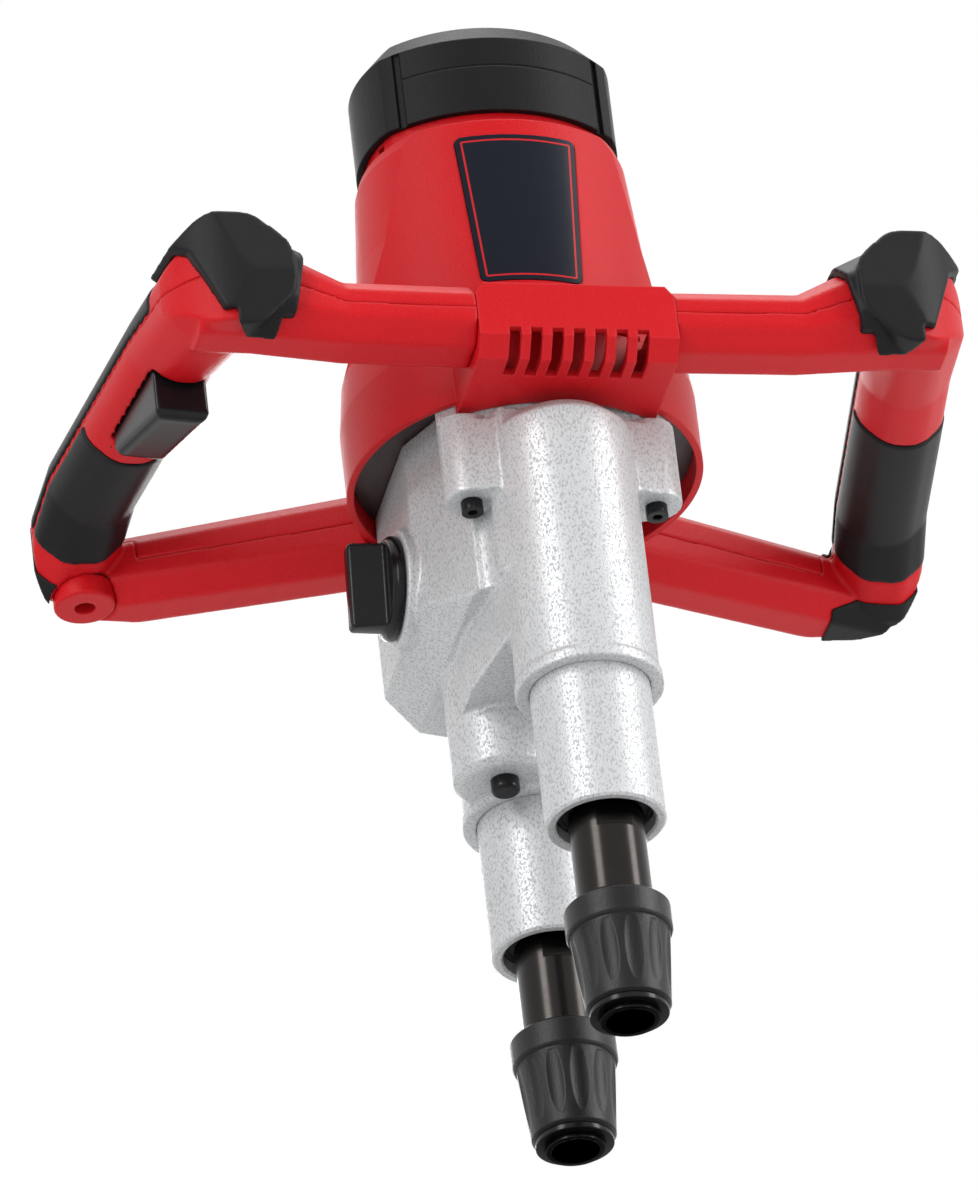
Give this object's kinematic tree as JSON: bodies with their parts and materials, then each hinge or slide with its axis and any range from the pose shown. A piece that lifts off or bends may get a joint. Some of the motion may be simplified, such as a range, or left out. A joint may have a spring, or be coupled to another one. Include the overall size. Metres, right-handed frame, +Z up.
{
  "type": "mixing drill",
  "caption": "Two-hand mixing drill: motor above a cast gear case turning twin counter-rotating spindles with quick-release stirrer sockets, looped side handles, trigger, speed selector.",
  "frame": {"origin": "centre of the front stirrer socket's mouth, at the lowest end of the front spindle", "axes": "+Z up along the spindles to the motor, +Y from the front spindle to the rear spindle, +X to the handle without the trigger"},
  "size_m": [0.385, 0.2315, 0.4984],
  "materials": {
    "red_shell": "fine moulded grain",
    "black_cover": "moulded grain",
    "soft_grip": "satin",
    "gloss_black": "glossy",
    "label": "satin",
    "silver_casting": "speckled silver paint",
    "polished_steel": "polished",
    "gear_steel": "machined",
    "spring_steel": "bright",
    "black_steel": "satin black",
    "copper": "wound copper"
  },
  "bodies": {
    "frame": {"motor_housing": "red_shell", "plain_handle_upper": "red_shell", "plain_handle_lower": "red_shell", "switch_handle_upper": "red_shell", "switch_handle_lower": "red_shell", "cable_gland": "red_shell", "motor_cap": "black_cover", "brush_bridge": "black_cover", "switch_module": "black_cover", "carbon_brushes": "black_cover", "plain_grip_pads": "soft_grip", "switch_grip_pads": "soft_grip", "front_bumpers": "soft_grip", "rear_bumpers": "soft_grip", "oil_seals": "soft_grip", "selector_seal": "soft_grip", "label_plate": "label", "gear_case": "silver_casting", "front_sleeve": "silver_casting", "rear_sleeve": "silver_casting", "middle_plate": "silver_casting", "motor_flange": "silver_casting", "fork_rod": "polished_steel", "idler_pin": "polished_steel", "trigger_pin": "polished_steel", "stator_core": "gear_steel", "spindle_bearings": "gear_steel", "shaft_bearings": "gear_steel", "motor_bearings": "gear_steel", "case_screws": "black_steel", "grease_plug": "black_steel", "housing_screws": "black_steel", "field_coils": "copper"},
    "rotor": {"rotor_shaft": "polished_steel", "rotor_core": "gear_steel", "rotor_windings": "copper", "commutator": "copper", "fan": "black_cover"},
    "lay_shaft": {"lay_shaft": "polished_steel", "input_wheel": "gear_steel"},
    "drive_shaft": {"drive_shaft": "polished_steel", "low_gear": "gear_steel"},
    "high_gear": {"high_gear": "gear_steel"},
    "dog_sleeve": {"dog_sleeve": "gear_steel"},
    "shift_fork": {"shift_fork": "gear_steel"},
    "selector": {"selector_knob": "gloss_black"},
    "idler": {"idler_gear": "gear_steel"},
    "front_spindle": {"front_spindle": "polished_steel", "front_spindle_gear": "gear_steel", "front_coupling_ring": "black_steel", "front_locking_balls": "spring_steel", "front_coupling_spring": "spring_steel"},
    "rear_spindle": {"rear_spindle": "polished_steel", "rear_spindle_gear": "gear_steel", "rear_coupling_ring": "black_steel", "rear_locking_balls": "spring_steel", "rear_coupling_spring": "spring_steel"},
    "front_coupling": {"front_coupling_sleeve": "black_steel"},
    "rear_coupling": {"rear_coupling_sleeve": "black_steel"},
    "trigger": {"trigger": "gloss_black"}
  },
  "joints": [
    {"name": "rotor_spin", "type": "hinge", "parent": "frame", "child": "rotor", "pos_m": [0, 0.059, 0.2], "axis": [0, 0, 1], "continuous": true},
    {"name": "lay_shaft_spin", "type": "hinge", "parent": "frame", "child": "lay_shaft", "pos_m": [-0.02357, 0.05067, 0.2], "axis": [0, 0, 1], "continuous": true},
    {"name": "drive_shaft_spin", "type": "hinge", "parent": "frame", "child": "drive_shaft", "pos_m": [-0.018, 0.07824, 0.2], "axis": [0, 0, 1], "continuous": true},
    {"name": "high_gear_spin", "type": "hinge", "parent": "frame", "child": "high_gear", "pos_m": [-0.018, 0.07824, 0.2], "axis": [0, 0, 1], "continuous": true},
    {"name": "idler_spin", "type": "hinge", "parent": "frame", "child": "idler", "pos_m": [-0.00031, 0.0495, 0.2], "axis": [0, 0, 1], "continuous": true},
    {"name": "front_spindle_spin", "type": "hinge", "parent": "frame", "child": "front_spindle", "pos_m": [0, 0, 0.2], "axis": [0, 0, 1], "continuous": true},
    {"name": "rear_spindle_spin", "type": "hinge", "parent": "frame", "child": "rear_spindle", "pos_m": [0, 0.105, 0.2], "axis": [0, 0, 1], "continuous": true},
    {"name": "selector_turn", "type": "hinge", "parent": "frame", "child": "selector", "pos_m": [-0.058, 0.069, 0.246], "axis": [-1, 0, 0], "range_deg": [0, 90]},
    {"name": "shift_fork_slide", "type": "slide", "parent": "frame", "child": "shift_fork", "axis": [0, 0, -1], "range_m": [0, 0.00707]},
    {"name": "dog_sleeve_slide", "type": "slide", "parent": "drive_shaft", "child": "dog_sleeve", "axis": [0, 0, -1], "range_m": [0, 0.0072]},
    {"name": "front_coupling_slide", "type": "slide", "parent": "front_spindle", "child": "front_coupling", "axis": [0, 0, 1], "range_m": [0, 0.008], "stiffness_N_per_m": 1200, "springref_m": -0.006, "deforming": ["front_coupling_spring"]},
    {"name": "rear_coupling_slide", "type": "slide", "parent": "rear_spindle", "child": "rear_coupling", "axis": [0, 0, 1], "range_m": [0, 0.008], "stiffness_N_per_m": 1200, "springref_m": -0.006, "deforming": ["rear_coupling_spring"]},
    {"name": "trigger_press", "type": "hinge", "parent": "frame", "child": "trigger", "pos_m": [-0.16282, 0.0636, 0.31], "axis": [-0.9912, -0.1323, 0], "range_deg": [0, 5], "stiffness_Nm_per_rad": 3, "springref_deg": -4.58}
  ],
  "couplings": [
    {"joint": "lay_shaft_spin", "follows": "rotor_spin", "ratio": -0.25},
    {"joint": "drive_shaft_spin", "follows": "rotor_spin", "ratio": 0.090909},
    {"joint": "high_gear_spin", "follows": "rotor_spin", "ratio": 0.16667},
    {"joint": "rear_spindle_spin", "follows": "rotor_spin", "ratio": -0.03125},
    {"joint": "idler_spin", "follows": "rotor_spin", "ratio": -0.029412},
    {"joint": "front_spindle_spin", "follows": "rotor_spin", "ratio": 0.03125},
    {"joint": "selector_turn", "follows": "shift_fork_slide", "rad_per_m": 222.14},
    {"joint": "dog_sleeve_slide", "follows": "shift_fork_slide", "ratio": 1}
  ]
}
